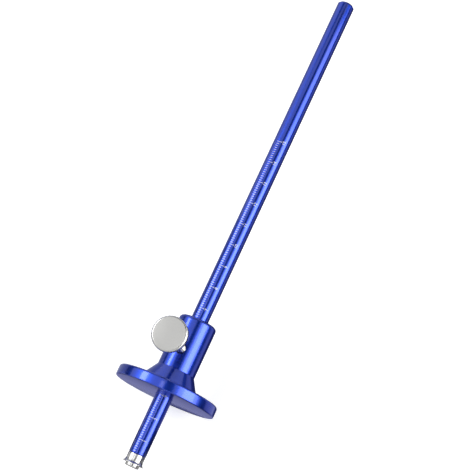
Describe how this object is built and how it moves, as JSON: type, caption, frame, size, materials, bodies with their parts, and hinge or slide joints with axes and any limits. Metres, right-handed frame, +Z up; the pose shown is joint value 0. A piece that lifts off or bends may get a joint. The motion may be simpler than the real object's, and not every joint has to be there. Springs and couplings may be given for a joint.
{
  "type": "marking gauge",
  "caption": "Wheel marking gauge: a round graduated beam with a wheel cutter at its end, and a turned disc fence locked by a knurled thumb screw.",
  "frame": {"origin": "under the middle of the gauge's overall box, level with the lowest point of the fence's rim", "axes": "+X along the beam from the wheel cutter to the bare end, +Z up along the thumb screw's axis, +Y to the left seen from the cutter's end"},
  "size_m": [0.223, 0.0442, 0.0546],
  "materials": {
    "blue_anodising": "satin anodised",
    "hardened_steel": "ground bright",
    "satin_steel": "satin",
    "brass": "turned",
    "black_rubber": "matt"
  },
  "bodies": {
    "beam": {"beam": "blue_anodising", "wheel_cutter": "hardened_steel", "cutter_screw": "hardened_steel"},
    "friction_ring": {"friction_ring": "black_rubber"},
    "fence": {"fence": "blue_anodising"},
    "pressure_pad": {"pressure_pad": "brass"},
    "thumb_screw": {"thumb_screw": "satin_steel"}
  },
  "joints": [
    {"name": "fence_slide", "type": "slide", "parent": "beam", "child": "friction_ring", "axis": [1, 0, 0], "range_m": [-0.029, 0.155]},
    {"name": "fence_turn", "type": "hinge", "parent": "friction_ring", "child": "fence", "pos_m": [-0.07982, 0, 0.0221], "axis": [1, 0, 0], "continuous": true},
    {"name": "pad_travel", "type": "slide", "parent": "fence", "child": "pressure_pad", "axis": [0, 0, 1], "range_m": [0, 0.0021]},
    {"name": "thumb_turn", "type": "hinge", "parent": "pressure_pad", "child": "thumb_screw", "pos_m": [-0.05962, 0, 0.0221], "axis": [0, 0, 1], "range_deg": [0, 1080]}
  ],
  "couplings": [
    {"joint": "pad_travel", "follows": "thumb_turn", "m_per_rad": 0.00011141}
  ]
}
